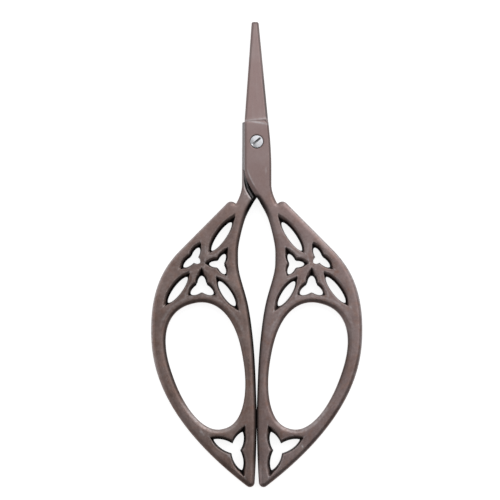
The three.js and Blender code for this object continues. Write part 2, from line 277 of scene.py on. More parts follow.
def sharpEdges(mesh, angle):
    # which edges turn by more than the angle
    mesh.set_sharp_from_angle(angle=math.radians(angle))
    found = np.zeros(len(mesh.edges), bool)
    if "sharp_edge" in mesh.attributes:
        mesh.attributes["sharp_edge"].data.foreach_get("value", found)
    return found


def addPiece(name, verts, faces, tints, material, sharp=38, soft=75, softBelow=-15.0):
    # millimetres from the pivot become metres in the shared frame; the handle's edges, below softBelow, are
    # softer than the blade's
    mesh = bpy.data.meshes.new(name)
    mesh.vertices.add(len(verts))
    mesh.vertices.foreach_set("co", (verts * toMetres + pivot).astype(np.float32).ravel())
    mesh.loops.add(faces.size)
    mesh.loops.foreach_set("vertex_index", faces.astype(np.int32).ravel())
    mesh.polygons.add(len(faces))
    mesh.polygons.foreach_set("loop_start", np.arange(0, faces.size, 3, dtype=np.int32))
    mesh.polygons.foreach_set("use_smooth", np.ones(len(faces), bool))
    mesh.update(calc_edges=True)
    mesh.validate()
    ends = np.empty(2 * len(mesh.edges), np.int32)
    mesh.edges.foreach_get("vertices", ends)
    below = verts[ends.reshape(-1, 2), 1].max(1) < softBelow
    crisp = np.where(below, sharpEdges(mesh, soft), sharpEdges(mesh, sharp))
    mesh.attributes["sharp_edge"].data.foreach_set("value", crisp)
    # painted shade, and bare steel with painted highlights, go on as tints of the mesh
    for layer, tint in zip(("paintedShade", "bare"), tints.T.astype(np.float32)):
        mesh.attributes.new(layer, "FLOAT", "POINT").data.foreach_set("value", tint.copy())
    mesh.materials.append(material)
    piece = bpy.data.objects.new(name, mesh)
    bpy.context.scene.collection.objects.link(piece)
    print(f"{name}: {len(verts)} vertices, {len(faces)} triangles")
    return piece


# shader maths
class Wire:
    # a node's output; sums and products of wires become Math nodes
    def __init__(self, tree, out=None):
        self.tree = tree
        self.out = out

    def node(self, kind, settings=None, sockets=None, output=0):
        made = self.tree.nodes.new(kind)
        for key, value in (settings or {}).items():
            setattr(made, key, value)
        for key, value in (sockets or {}).items():
            if isinstance(value, Wire):
                self.tree.links.new(value.out, made.inputs[key])
            else:
                made.inputs[key].default_value = value
        return Wire(self.tree, made.outputs[output] if made.outputs else None)

    def math(self, operation, a, b=0.0, clamp=False):
        return self.node("ShaderNodeMath", {"operation": operation, "use_clamp": clamp}, {0: a, 1: b})

    def __add__(self, other):
        return self.math("ADD", self, other)

    def __sub__(self, other):
        return self.math("SUBTRACT", self, other)

    def __mul__(self, other):
        return self.math("MULTIPLY", self, other)

    def __rsub__(self, other):
        return self.math("SUBTRACT", other, self)

    __radd__ = __add__
    __rmul__ = __mul__

    def clipped(self):
        return self.math("ADD", self, 0.0, True)

    def between(self, low, high):
        # 0 at low and below it, 1 at high and above it, smooth between them
        return self.node("ShaderNodeMapRange", {"interpolation_type": "SMOOTHSTEP"},
                         {"Value": self, "From Min": low, "From Max": high})

    def blend(self, a, b, factor):
        # colours, from a to b
        return self.node("ShaderNodeMix", {"data_type": "RGBA"}, {0: factor, 6: a, 7: b}, 2)

    def noise(self, scale, detail):
        # on these coordinates, with the scale in features to a metre
        return self.node("ShaderNodeTexNoise", {}, {"Vector": self, "Scale": scale, "Detail": detail})

    def layer(self, name):
        # a tint of the mesh
        return self.node("ShaderNodeAttribute", {"attribute_name": name}, output=2)


def startMaterial(name):
    # an empty material, and a wire to add its nodes by
    material = bpy.data.materials.new(name)
    material.use_nodes = True
    material.node_tree.nodes.clear()
    return material, Wire(material.node_tree)


def finishMetal(w, base, rough, height, depth):
    # a metal of that colour and roughness, with a bump of that depth
    bump = w.node("ShaderNodeBump", {}, {"Strength": 1.0, "Distance": depth, "Height": height})
    shader = w.node("ShaderNodeBsdfPrincipled", {},
                    {"Base Color": base, "Metallic": 1.0, "Roughness": rough, "Normal": bump})
    w.node("ShaderNodeOutputMaterial", {}, {"Surface": shader})


def colour(red, green, blue):
    # from the 0 to 255 of a screen to linear light
    shares = [v / 255 for v in (red, green, blue)]
    return tuple(v / 12.92 if v <= 0.04045 else ((v + 0.055) / 1.055) ** 2.4 for v in shares) + (1,)


frontFinish = {
    "name": "satinBronze",
    "handle": colour(125, 109, 107),
    "blade": colour(138, 119, 117),
    "copper": colour(127, 102, 93),
    "wearAndSheen": colour(170, 163, 163),
    # bare steel, and the painted highlights
    "bare": colour(190, 188, 190),
    "dark": colour(22, 20, 20),
    "bladeStarts": (-0.012, 0.040),     # y in metres over which the handle's colour gives way to the lighter blade's, partly its own colour and partly painted light that brightens towards the tip, and over which the brushing sets in
    "groundStarts": (0.0338, 0.0346),   # and over which the brushing sets in
    "cloud": 190.0,            # noises, in features to a metre
    "patch": 85.0,
    "fleck": 675.0,
    "mottle": 1500.0,
    "streak": 2600.0,
    "grain": 5200.0,
    "streakLength": 20.0,
    "clouds": 0.7,             # how strongly each one shows: wear, coppery patches and flecks, dark stains, blotches, the ragged edge of the bare steel and painted highlights, brush marks and specks
    "patches": 0.8,            # blotches, the ragged edge of the wear, brush marks and specks
    "flecks": 3.0,
    "stains": 0.45,
    "blotches": 0.5,
    "raggedness": 3.0,
    "brushing": 0.45,
    "specks": 0.42,
    "patchFrom": 0.42,         # the level of the noise from which it shows
    "cloudFrom": 0.46,
    "roughness": 0.36,
    "cloudRoughness": 0.12,    # what each adds to the roughness
    "streakRoughness": 0.10,
    "darkRoughness": 0.2,
    "bump": 0.0000022,
    "groundBump": 0.6,         # how much of the grain the grinding takes off
}
# the rear half's copy of the same bronze, darker and browner: painted shade; with more coppery patches and
# stains
rearFinish = {
    **frontFinish,
    "name": "shadedBronze",
    "handle": colour(120, 103, 98),
    "patches": 1.4,
    "stains": 0.9,
}


def bronzeMaterial(finish):
    # copper, wear, stains, specks and brush marks over the plating, then the bare steel with painted
    # highlights, and the painted shade
    material, w = startMaterial(finish["name"])
    place = w.node("ShaderNodeTexCoord", output=3)
    y = w.node("ShaderNodeSeparateXYZ", sockets={0: place}, output=1)
    stretch = (1.0, 1 / finish["streakLength"], 1.0)
    along = w.node("ShaderNodeMapping", {}, {"Vector": place, "Scale": stretch})
    paintedShade, bare = w.layer("paintedShade"), w.layer("bare")
    cloud, patch = place.noise(finish["cloud"], 4.0), place.noise(finish["patch"], 3.0)
    fleck, mottle = place.noise(finish["fleck"], 2.0), place.noise(finish["mottle"], 2.0)
    streak, speck = along.noise(finish["streak"], 3.0), place.noise(finish["grain"], 2.0)
    blade = y.between(*finish["bladeStarts"])
    ground = y.between(*finish["groundStarts"])
    handle = 1 - blade

    plain = w.blend(finish["handle"], finish["blade"], blade)
    patches = ((patch - finish["patchFrom"]) * finish["patches"]).clipped()
    flecks = ((fleck - 0.5) * finish["flecks"]).clipped()
    coppery = w.blend(plain, finish["copper"], ((patches + flecks) * handle).clipped())
    blotch = (mottle - 0.5) * finish["blotches"] * handle
    clouds = ((cloud - finish["cloudFrom"]) * finish["clouds"]).clipped()
    varied = w.blend(coppery, finish["wearAndSheen"], clouds + blotch.clipped())
    stain = (0.5 - cloud) * finish["stains"] * handle
    spots = stain.clipped() + (0 - blotch).clipped() + (speck - 0.5) * finish["specks"]
    grainy = w.blend(varied, finish["dark"], spots.clipped())
    brushed = w.blend(grainy, finish["wearAndSheen"], ((streak - 0.5) * finish["brushing"] * ground).clipped())
    # the bare steel and the painted highlights, with ragged edges
    raggedBareAndSheen = bare + bare * (1 - bare) * (mottle - 0.5) * finish["raggedness"]
    wearAndSheen = w.blend(brushed, finish["bare"], raggedBareAndSheen.clipped())
    # painted shade over all of it
    base = w.blend(wearAndSheen, finish["dark"], paintedShade.clipped())

    rough = (finish["roughness"] + (cloud - 0.5) * finish["cloudRoughness"]
             + (streak - 0.5) * finish["streakRoughness"] * ground + paintedShade * finish["darkRoughness"])
    height = speck * (1 - ground * finish["groundBump"]) + streak * ground
    finishMetal(w, base, rough, height, finish["bump"])
    return material


steelFinish = {
    "bright": colour(200, 201, 205),
    "dull": colour(150, 151, 156),
    # painted shade in the slot
    "dark": colour(26, 25, 26),
    "cloud": 480.0,            # noises, in features to a metre
    "rings": 5200.0,
    "dullFrom": 0.42,          # the level of the noise from which the dull shows, and how strongly
    "dulling": 1.6,
    "roughness": 0.24,
    "ringRoughness": 0.18,
    "darkRoughness": 0.2,
    "bump": 0.0000012,
}


def steelMaterial(finish):
    # dull clouds, rings round the pivot from turning, and painted shade in the slot
    material, w = startMaterial("brightSteel")
    place = w.node("ShaderNodeTexCoord", output=3)
    toPivot = (0.0, -float(pivot[1]), 0.0)
    centred = w.node("ShaderNodeMapping", {}, {"Vector": place, "Location": toPivot})
    flat = w.node("ShaderNodeVectorMath", {"operation": "MULTIPLY"}, {0: centred, 1: (1.0, 1.0, 0.0)})
    radius = w.node("ShaderNodeVectorMath", {"operation": "LENGTH"}, {0: flat}, 1)
    turned = w.node("ShaderNodeTexNoise", {"noise_dimensions": "1D"},
                    {"W": radius, "Scale": finish["rings"], "Detail": 2.0})
    paintedShade = w.layer("paintedShade")
    clouds = ((place.noise(finish["cloud"], 1.0) - finish["dullFrom"]) * finish["dulling"]).clipped()
    base = w.blend(w.blend(finish["bright"], finish["dull"], clouds), finish["dark"], paintedShade.clipped())
    rough = (finish["roughness"] + (turned - 0.5) * finish["ringRoughness"]
             + paintedShade * finish["darkRoughness"])
    finishMetal(w, base, rough, turned, finish["bump"])
    return material


frontBronze = bronzeMaterial(frontFinish)
rearBronze = bronzeMaterial(rearFinish)
steel = steelMaterial(steelFinish)
print("finishes made")


# one half: blade, flat round the pivot, shank and openwork handle
half = {
    "bladeReach": 31.2,
    "handleReach": 88.8,
    "handleSpan": 27.15,
    "heelAt": 6.4,
    "crotchAt": 13.9,
    "face": 1.9,                   # the outer face's height, and the inner one's
    "innerFace": 0.05,
    "thickness": 1.85,
    "tipThickness": 1.0,
    "tipWidth": 1.78,
    "tipCorner": 0.25,
    "tipChamfer": 0.2,
    "bladeWidth": 6.1,
    "plungeAt": 5.4,
    "plungeDepth": 0.08,
    "nickDepth": 0.35,
    "nickWidth": 0.6,
    "bevel": 0.6,
    "land": 0.2,
    "chamfer": 0.55,
    "heelChamfer": 0.95,
    "heelStarts": (6.5, 9.0),      # how far down the heel's chamfer sets in and gives out, and its side
    "heelEnds": (15.5, 13.0),
    "heelSide": 2.0,
    "handleStarts": (12.5, 17.0),  # how far down the chamfers turn into the handle's rounding
    "backOffset": 3.1,
    "shankOffset": 3.78,
    "flareLength": 5.0,
    "closingGap": 0.004,
    "shoulderGap": (0.06, 1.2),    # between a heel and the other half's shoulder, at the top and at the foot
    "gapGrows": (1.0, 6.1),        # and how far below the heel's start it widens
    "stepWidth": 0.12,             # the step from the inner face to the shoulder, and the rounding beyond it
    "stepIn": 0.45,
    "stepDown": 0.5,
    "ramp": (0.3, 3.6),            # how far below the heel's start the shoulder sinks to its depth
    "seat": 1.0,                   # the floor of the screw's counterbore, and the counterbore's lip
    "sinkLip": 0.1,
    "lipSlope": 0.5,
    "pointRadius": 1.2,
    "pointClear": 0.02,
    "edgeIn": 1.15,                # how far the handle's rounding reaches in, and down
    "edgeDown": 1.3,
    "edgeTurn": 0.82,              # and how much of a quarter turn it is
    "crownIn": 2.3,                # the bars are domed as well
    "crownDown": 0.07,
    "outerRim": 3.68,
    "innerRim": 2.95,
    "fingerTop": 0.3672,
    "fingerBottom": 0.8037,
    "fingerBlunt": 0.882,
    "fingerWidth": 0.578,
    "fingerTaper": 0.146,
    "fingerTilt": 0.268,
    "leafWidth": 2.18,
    "leafGrow": 0.08,              # how far a leaf runs on past its ends
    "leafFlare": 0.6,              # how far the pocket round an opening reaches, and down
    "flareDepth": 1.15,
    "step": 0.22,
}


def onHandle(u, v):
    # shares of the handle's span, and of its length below the foot of the heel
    return np.array([u * half["handleSpan"], -mix(half["crotchAt"], half["handleReach"], v)])


def onPanel(u, v):
    # shares of the span, and of the height of the panel above the finger hole
    return onHandle(u, v * half["fingerTop"])


def onFoot(u, v):
    # shares of the span, and of the height of the foot below the finger hole
    return onHandle(u, mix(half["fingerBottom"], 1, v))


def onHeel(u, v):
    # shares of the back edge's offset, and of the heel's height
    return np.array([-u * half["backOffset"], -mix(half["heelAt"], half["crotchAt"], v)])


stopTop = np.array([half["closingGap"] / 2, onHandle(0, 0.736)[1]])
stopBottom = np.array([half["closingGap"] / 2, onHandle(0, 0.797)[1]])
innerEdge = spline([
    onHeel(1, 0), onHeel(0.94, 0.33), onHeel(0.56, 0.68), onHeel(0.09, 1),
    onHandle(0.04, 0.028), onHandle(0.112, 0.081), onHandle(0.168, 0.162), onHandle(0.177, 0.215),
    onHandle(0.163, 0.268), onHandle(0.083, 0.375), onHandle(0.039, 0.482), onHandle(0.0155, 0.589),
    stopTop], 600)
pointCentre = onHandle(0.02, 1) + half["pointRadius"] + (0, half["pointClear"])
footPull = (0.1, mix(stopBottom[1], pointCentre[1], 0.53))
footEdge = bezier(stopBottom, footPull, pointCentre - (half["pointRadius"], 0))
innerSide = np.vstack([innerEdge[innerEdge[:, 1] < 1 - half["crotchAt"]], footEdge])
notch = onHandle(0.197, 0.0285)
shankTop = np.array([half["shankOffset"], notch[1] + half["flareLength"]])


def alongBlade(y):
    # 0 at the plunge line and 1 at the tip
    return (y - half["plungeAt"]) / (half["bladeReach"] - half["plungeAt"])


def plateEdges(y, side):
    # x of the back edge and of the cutting edge of the blade and of the flat round the pivot
    shift = side["lean"] * np.maximum(y, 0) / half["bladeReach"]
    blade = mix(half["bladeWidth"], half["tipWidth"], alongBlade(y)) / 2
    ease = ((np.maximum(y, -half["heelAt"]) + half["heelAt"]) / (half["plungeAt"] + half["heelAt"])) ** 2
    back = np.where(y >= half["plungeAt"], blade, mix(half["backOffset"], half["bladeWidth"] / 2, ease))
    edge = np.where(y >= half["plungeAt"], blade, mix(half["shankOffset"], side["shoulder"], ease ** 0.8))
    return shift - back, shift + edge


def halfOutline(side):
    # anticlockwise from the handle's lower point
    widest, straightEnd = onHandle(1, 0.458), onHandle(0.689, 0.175)
    cornerTop, cornerEnd = onHandle(0.249, 0.0205), onHandle(0.291, 0.0295)
    turn = np.linspace(math.pi, math.pi * 1.74, 40)
    point = pointCentre + half["pointRadius"] * np.c_[np.cos(turn), np.sin(turn)]
    pull = 0.125 * half["handleSpan"]
    nick = half["nickWidth"] / 2
    reach, corner = half["bladeReach"], half["tipCorner"]
    low = np.linspace(shankTop[1], half["plungeAt"] - nick, 60)
    high = np.linspace(half["plungeAt"] + nick, reach - corner, 60)
    back = np.linspace(reach - corner, -half["heelAt"], 120)
    tipBack, tipEdge = (float(v) for v in plateEdges(np.array(reach), side))
    lowEdge, highEdge = plateEdges(low, side)[1], plateEdges(high, side)[1]
    plungeEdge = plateEdges(np.array(half["plungeAt"]), side)[1]
    nickPoint = np.array([plungeEdge - half["nickDepth"], half["plungeAt"]])
    backEdge = plateEdges(back, side)[0]
    parts = [
        bezier(point[-1], onHandle(0.972, 0.751), (widest[0], mix(widest[1], point[-1][1], 0.181)), widest),
        bezier(widest, (widest[0], mix(widest[1], straightEnd[1], 0.596)),
               (straightEnd[0] + pull, straightEnd[1] - pull), straightEnd),
        (straightEnd, cornerEnd),
        bezier(cornerEnd, (mix(cornerTop[0], cornerEnd[0], 0.5), cornerTop[1]), cornerTop),
        bezier(cornerTop, (mix(notch[0], cornerTop[0], 0.4), cornerTop[1]), notch),
        bezier(notch, (half["shankOffset"], notch[1] + 0.55 * half["flareLength"]), shankTop),
        np.c_[lowEdge, low],
        ((lowEdge[-1], low[-1]), nickPoint),
        (nickPoint, (highEdge[0], high[0])),
        np.c_[highEdge, high],
        ((highEdge[-1], high[-1]), (tipEdge - corner, reach)),
        ((tipEdge - corner, reach), (tipBack + corner, reach)),
        ((tipBack + corner, reach), (backEdge[0], back[0])),
        np.c_[backEdge, back],
        innerEdge,
        (stopTop, stopBottom),
        footEdge,
        point,
    ]
    loop = joined(parts, half["step"])
    smooth = (np.roll(loop, 1, 0) + 2 * loop + np.roll(loop, -1, 0)) / 4
    return np.where(loop[:, 1:] < -half["crotchAt"], smooth, loop)   # the handle's corners are soft


def fingerHole():
    # an oval, blunter than an ellipse, broader at the top and tilted outwards, clockwise
    turn = np.linspace(0, -2 * math.pi, 700)

    def bend(v):
        # |v|^blunt, with the sign of v
        return np.sign(v) * np.abs(v) ** half["fingerBlunt"]

    up = bend(np.sin(turn))
    across = half["fingerWidth"] * bend(np.cos(turn)) * (1 + half["fingerTaper"] * up)
    c, s = math.cos(half["fingerTilt"]), math.sin(half["fingerTilt"])
    oval = np.c_[across * c + up * s, up * c - across * s]
    low = np.array([half["closingGap"] / 2 + half["innerRim"], onHandle(0, half["fingerBottom"])[1]])
    high = np.array([half["handleSpan"] - half["outerRim"], onHandle(0, half["fingerTop"])[1]])
    share = (oval - oval.min(0)) / (oval.max(0) - oval.min(0))
    return joined([mix(low, high, share)], half["step"])


# Each opening: its ends, how far its pocket runs on beyond them, and how far the pocket sits off it
leaves = [
    {"tail": onPanel(0.242, 0.251), "tip": onPanel(0.425, 0.512), "points": (2.5, 1.25), "off": (0.3, 0.16)},
    {"tail": onPanel(0.661, 0.765), "tip": onPanel(0.838, 1), "points": (1.8, 1.6), "off": (0.32, 0.18)},
    {"tail": onPanel(0.359, 0.806), "tip": onPanel(0.207, 1.03), "points": (1.4, 1.95), "off": (-0.1, 0.16)},
]
trefoils = [
    {"heart": onPanel(0.522, 0.853), "breadth": 1.03, "tuck": 0.64,
     "tips": [onPanel(0.522, 0.754), onPanel(0.414, 0.921), onPanel(0.622, 0.921)],
     "points": (1.75, 1.05, 1.1), "off": (0.0, 0.3)},
    {"heart": onPanel(0.35, 0.643), "breadth": 0.78, "tuck": 0.62,
     "tips": [onPanel(0.303, 0.55), onPanel(0.448, 0.64), onPanel(0.302, 0.733)],
     "points": (1.6, 1.3, 0.9), "off": (-0.04, 0.24)},
    {"heart": onPanel(0.597, 0.588), "breadth": 0.8, "tuck": 0.48,
     "tips": [onPanel(0.548, 0.49), onPanel(0.691, 0.667), onPanel(0.541, 0.629)],
     "points": (1.4, 1.2, 0.4), "off": (0.24, 0.2)},
    {"heart": onFoot(0.203, 0.36), "breadth": 1.17, "tuck": 0.65,
     "tips": [onFoot(0.136, 0.045), onFoot(0.405, 0.175), onFoot(0.142, 0.7)],
     "points": (1.65, 1.3, 2.0), "off": (-0.15, 0.13), "blunt": 0.8, "hold": 0.85},
]
pocketShape = {
    "tailPoint": 0.3,          # how far a trefoil's pockets run on behind its heart
    "blunt": 0.56,             # the power that rounds a leaf's ends
    "taper": 2.4,              # and those of the pocket's rim, floor and sides
    "floorCurve": 0.65,
    "sideCurve": 1.4,
    "lines": (0.0, 0.2, 0.4, 0.58, 0.72, 0.84, 0.93),   # shares of the way from rim to hole that get a line
    "hold": 0.25,              # how much painted shade the narrow side keeps
    "shading": (0.15, 0.6),    # shares of the depth over which it sets in
    "broadFrom": (-0.5, 0.4),
    "endFrom": 0.5,
    "lip": 0.4,                # painted highlights: the lip beside the rim, and the tick at the tip
    "lipAt": 0.1,
    "lipWidth": 0.14,
    "tickLength": 0.45,
    "tickWidth": 0.14,
}


def leafShape(tail, tip, width, points, off, blunt=pocketShape["blunt"], hold=pocketShape["hold"]):
    # a leaf's own axes, half length and half width, and its pocket
    length = math.hypot(*(tip - tail))
    axis = (tip - tail) / length
    return {
        "middle": (tail + tip) / 2,
        "axis": axis,
        "side": leftOf(axis),
        "long": length / 2 + half["leafGrow"],
        "wide": width / 2,
        "tailPoint": points[0],
        "tipPoint": points[1],
        "off": np.array(off),
        "blunt": blunt,
        "hold": hold,
    }


def inLeaf(points, leaf):
    # distances along and across the leaf
    away = points - leaf["middle"]
    return away @ leaf["axis"], np.abs(away @ leaf["side"])


def leafHalfWidth(along, leaf):
    # half the width of the through hole: (1 - (s/L)^2)^e of the widest
    return leaf["wide"] * np.maximum(1 - (along / leaf["long"]) ** 2, 0) ** leaf["blunt"]


def pocketHalfWidth(along, leaf):
    # half the width of the pocket round the hole, which ends in points: 1 - |s/L|^taper of the widest
    long = leaf["long"] + np.where(along > 0, leaf["tipPoint"], leaf["tailPoint"])
    wide = leaf["wide"] + half["leafFlare"]
    return wide * np.maximum(1 - np.abs(along / long) ** pocketShape["taper"], 0), long


def outsidePocket(points, leaf, clear):
    # further than the clearance from the pocket's rim
    along, across = inLeaf(points - leaf["off"], leaf)
    rim, long = pocketHalfWidth(along, leaf)
    return (across > rim + clear) | (np.abs(along) > long + clear)


def pocketDrop(points, leaf):
    # A pocket's floor falls from its points to the ends of the hole, and its sides curve down from the rim to
    # the hole. Its broad side and its ends hold painted shade; its lip and its tip get painted highlights.
    drop, shade, tick = np.zeros((3, len(points)))
    reach = leaf["long"] + max(leaf["tipPoint"], leaf["tailPoint"])
    near = np.hypot(*(points - leaf["middle"]).T) < reach + leaf["wide"]
    here = points[near]
    along, across = inLeaf(here - leaf["off"], leaf)
    rim, long = pocketHalfWidth(along, leaf)
    toPoint = np.clip((long - np.abs(along)) / (long - leaf["long"]), 0, 1)
    floor = half["flareDepth"] * toPoint ** pocketShape["floorCurve"]
    fromRim = np.maximum(rim - across, 0)
    lip = bell(across - rim - pocketShape["lipAt"], pocketShape["lipWidth"]) * np.clip(2 * floor, 0, 1)
    fromTip = here - (leaf["middle"] + leaf["off"] + leaf["axis"] * (leaf["long"] + leaf["tipPoint"]))
    atTip = (bell(fromTip @ leaf["axis"], pocketShape["tickLength"])
             * bell(fromTip @ leaf["side"], pocketShape["tickWidth"]))
    tick[near] = np.maximum(atTip, pocketShape["lip"] * lip)

    along, across = inLeaf(here, leaf)
    toHole = np.maximum(across - leafHalfWidth(along, leaf), 0)
    fall = floor * (fromRim / np.maximum(fromRim + toHole, 1e-6)) ** pocketShape["sideCurve"]
    drop[near] = fall
    broad = (here - leaf["middle"]) @ leaf["off"] / np.hypot(*leaf["off"]) / leaf["wide"]
    ends = easeBetween(np.abs(along), leaf["long"] - pocketShape["endFrom"], leaf["long"])
    held = mix(leaf["hold"], 1, np.maximum(easeBetween(broad, *pocketShape["broadFrom"]), ends))
    shade[near] = easeBetween(fall / half["flareDepth"], *pocketShape["shading"]) * held
    return drop, shade, tick


def pocketLines(leaf, others, metal):
    # lines of equal share down the pocket's sides, and its middle line beyond the hole, as far as they show
    # in the metal
    turn = np.linspace(0, 2 * math.pi, 120, endpoint=False)
    reach = leaf["long"] + np.where(np.cos(turn) > 0, leaf["tipPoint"], leaf["tailPoint"])
    along = reach * np.cos(turn)
    side = np.sign(np.sin(turn))[:, None] * leaf["side"]
    middle = leaf["middle"] + along[:, None] * leaf["axis"]
    rim = middle + leaf["off"] + pocketHalfWidth(along, leaf)[0][:, None] * side
    hole = middle + leafHalfWidth(along, leaf)[:, None] * side
    sets = [(mix(rim, hole, share), chained(len(turn))) for share in pocketShape["lines"]]
    run = np.linspace(0.03, 1, 16)[:, None]
    for sign, point in ((1, leaf["tipPoint"]), (-1, leaf["tailPoint"])):
        end = leaf["middle"] + sign * leaf["long"] * leaf["axis"]
        sets.append((end + run * (leaf["off"] + sign * point * leaf["axis"]), chained(len(run))[:-1]))
    points, creases = gathered(sets)
    hidden = np.max([pocketDrop(points, other)[0] for other in others], axis=0)
    return kept(points, creases, metal(points) & (hidden <= pocketDrop(points, leaf)[0] + 0.02))


def leafLoop(leaf):
    # s = L cos t, with the leaf's half width on each side, clockwise
    turn = np.linspace(0, -2 * math.pi, 400)
    along = leaf["long"] * np.cos(turn)
    across = np.sign(np.sin(turn)) * leafHalfWidth(along, leaf)
    path = leaf["middle"] + along[:, None] * leaf["axis"] + across[:, None] * leaf["side"]
    return joined([path], 0.75 * half["step"])


def trefoilLoop(heart, group, furthest=12.0, soft=0.07):
    # round the heart, the furthest reach of the three leaves, found by halving, with their corners eased by a
    # soft maximum
    turn = np.linspace(0, -2 * math.pi, 1600)
    ray = np.c_[np.cos(turn), np.sin(turn)]
    reaches = []
    for leaf in group:
        low, high = np.zeros(len(turn)), np.full(len(turn), furthest)
        for _ in range(30):
            middle = (low + high) / 2
            along, across = inLeaf(heart + ray * middle[:, None], leaf)
            inside = (np.abs(along) < leaf["long"]) & (leafHalfWidth(along, leaf) >= across)
            low = np.where(inside, middle, low)
            high = np.where(inside, high, middle)
        reaches.append(low)
    reach = soft * np.log(np.exp(np.array(reaches) / soft).sum(0))
    return joined([heart + ray * reach[:, None]], 0.75 * half["step"])


allLeaves = [leafShape(width=half["leafWidth"], **leaf) for leaf in leaves]
openings = [leafLoop(leaf) for leaf in allLeaves]
for group in trefoils:
    width = group["breadth"] * half["leafWidth"]
    three = []
    for tip, point in zip(group["tips"], group["points"]):
        out = (tip - group["heart"]) / math.hypot(*(tip - group["heart"]))
        tail = group["heart"] - out * group["tuck"] * width
        own = {key: group[key] for key in ("blunt", "hold") if key in group}
        three.append(leafShape(tail, tip, width, (pocketShape["tailPoint"], point), group["off"], **own))
    openings.append(trefoilLoop(group["heart"], three))
    allLeaves += three
finger = fingerHole()

# the foot of the step between a half's inner face and its shoulder, clear of the other half's heel
heel = innerEdge[innerEdge[:, 1] > onHandle(0, 0.1)[1]] * (-1, 1)
gapStart, gapEnd = (half["heelAt"] + down for down in half["gapGrows"])
gap = mix(*half["shoulderGap"], easeBetween(-heel[:, 1:], gapStart, gapEnd))
stepLine = heel + gap * leftOf(unit(np.gradient(heel, axis=0)))
stepTop = (half["shankOffset"] + 0.4, -half["heelAt"])
stepLine = evenly(np.vstack([stepTop, stepLine[stepLine[:, 1] < -gapStart]]), half["step"])
print("outlines drawn")


def ringsInside(loop, others, depths):
    # the loop carried into the metal by each depth, apart from points that come too near another edge
    normal = inwards(loop)
    rings = np.vstack([loop + normal * depth for depth in depths])
    creases = np.vstack([chained(len(loop), k * len(loop)) for k in range(len(depths))])
    return kept(rings, creases, nearest(rings, [loop, *others]) > 0.97 * np.repeat(depths, len(loop)))


def linesBeside(line, offsets, loop, clear):
    # an open line carried sideways by each offset, as far as it lies in the loop
    normal = leftOf(unit(np.gradient(line, axis=0)))
    points = np.vstack([line + normal * offset for offset in offsets])
    creases = np.vstack([chained(len(line), k * len(line))[:-1] for k in range(len(offsets))])
    return kept(points, creases, within(points, loop) & (distance(points, loop) > clear))


def gridInside(loops, step, clear):
    # a triangular grid of points in the metal
    low, high = loops[0].min(0), loops[0].max(0)
    x, y = np.meshgrid(np.arange(low[0], high[0], step), np.arange(low[1], high[1], step * math.sqrt(0.75)))
    x = x + (np.arange(len(x)) % 2)[:, None] * step / 2
    points = np.c_[x.ravel(), y.ravel()]
    points = points[within(points, loops[0])]
    points = points[~inAny(points, loops[1:])]
    return points[nearest(points, loops) > clear]


def rounded(depth, reachIn, reachDown):
    # most of a quarter of an ellipse, from the edge in to the face
    share = half["edgeTurn"] * np.clip(1 - depth / reachIn, 0, 1)
    return reachDown * (1 - np.sqrt(1 - share ** 2))


def together(drops):
    # drops that meet flow into each other: the cube root of the sum of their cubes
    return np.cbrt(sum(d ** 3 for d in drops))


def brightStreaks(points, streakList):
    # each is a bright streak, a bell along it and another across it
    total = np.zeros(len(points))
    for x, y, angle, length, width, bright in streakList:
        along = np.array([math.cos(math.radians(angle)), math.sin(math.radians(angle))])
        off = points - (x, y)
        total += bright * bell(off @ along, length) * bell(off @ leftOf(along), width)
    return total


# the mesh: depths of the lines along the edges, and grids that are finer round the openwork
spacing = {
    "edgeRings": (0.02, 0.06, 0.12, 0.2, 0.3, 0.4, 0.52, 0.58, 0.65, 0.8, 0.92, 0.98, 1.1, 1.25),
    "holeRings": (0.02, 0.06, 0.12, 0.2, 0.3, 0.42, 0.56, 0.75, 1.0, 1.25),
    "leafRings": (0.02, 0.06),
    "sinkRings": np.array([-0.01, 0.02, 0.08, 0.16]),
    "stepLines": (0, 0.05, 0.1, 0.14, 0.2, 0.28, 0.38, 0.5),
    "valleyLines": np.linspace(-0.8, 0.8, 17),     # on either side of the plunge line, whose points come next
    "valley": np.arange(-2.9, 3.0, 0.15),
    "valleyClear": 0.08,       # how far these lines, the step's and the pockets' stay off the edges
    "stepClear": 0.03,
    "pocketClear": 0.09,
    "coarse": 0.36,            # each grid's step, and how far it stays off the edges
    "coarseClear": 0.3,
    "fine": 0.2,
    "fineClear": 0.15,
    "fineReach": 2.2,          # how far from the openings the fine grid ends and the coarse one starts
    "coarseFrom": 2.3,
    "finePocket": 0.1,         # how far they stay off the pockets and the counterbore
    "coarseSink": 0.25,
    "round": 144,
}

# where the grinding of the blade runs out: a low ridge, a groove that deepens towards the nick, and the rise
# to the flat, on a line that slants across the blade
plunge = {
    "start": -2.6,             # x at the back edge, and how far across the line runs
    "run": 5.6,
    "lead": 0.07,
    "slant": 0.27,
    "rows": (-0.6, -0.15, 0.2, 0.95),   # along the blade: groove's start, its bottom, ridge's top, its end
    "ridge": (0.01, 0.04),              # heights at the back edge and at the nick
    "groove": (0.005, 0.02),
    "bladeStarts": (-0.4, 0.1),         # where the bevel takes over from the flat's chamfer
    "bands": ((0.62, 0.3), (-1.0, 0.44)),   # how each painted highlight band slants, and how bright it is
    "bandAt": 0.1,
    "bandWidth": 0.24,
    "bandStart": 0.7,
}
